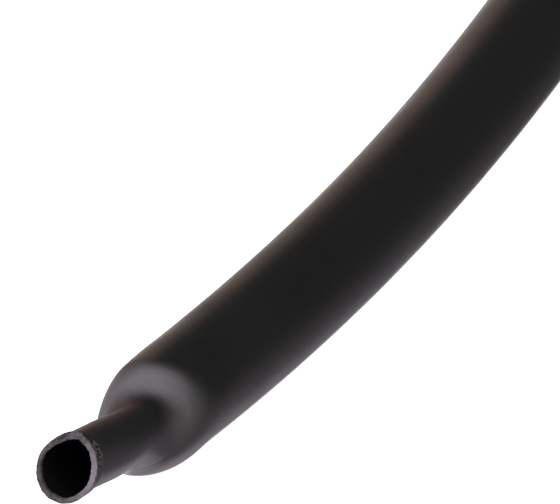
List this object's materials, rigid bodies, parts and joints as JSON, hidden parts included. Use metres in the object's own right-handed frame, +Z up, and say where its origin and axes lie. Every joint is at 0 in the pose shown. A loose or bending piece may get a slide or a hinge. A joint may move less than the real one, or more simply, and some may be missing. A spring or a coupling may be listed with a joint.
{
  "type": "heat shrink tube",
  "caption": "Length of black heat shrink tube, open right through, with one end already shrunk to about half its width.",
  "frame": {"origin": "under the middle of the tube's box, on the floor it lies on", "axes": "+X along the wide run from the shrunk end to the plain far end, +Z up from the floor"},
  "size_m": [0.3022, 0.0286, 0.0194],
  "materials": {
    "heat_shrink_tube": "matt black, fine grain"
  },
  "bodies": {
    "root": {"heat_shrink_tube": "heat_shrink_tube"}
  },
  "joints": []
}
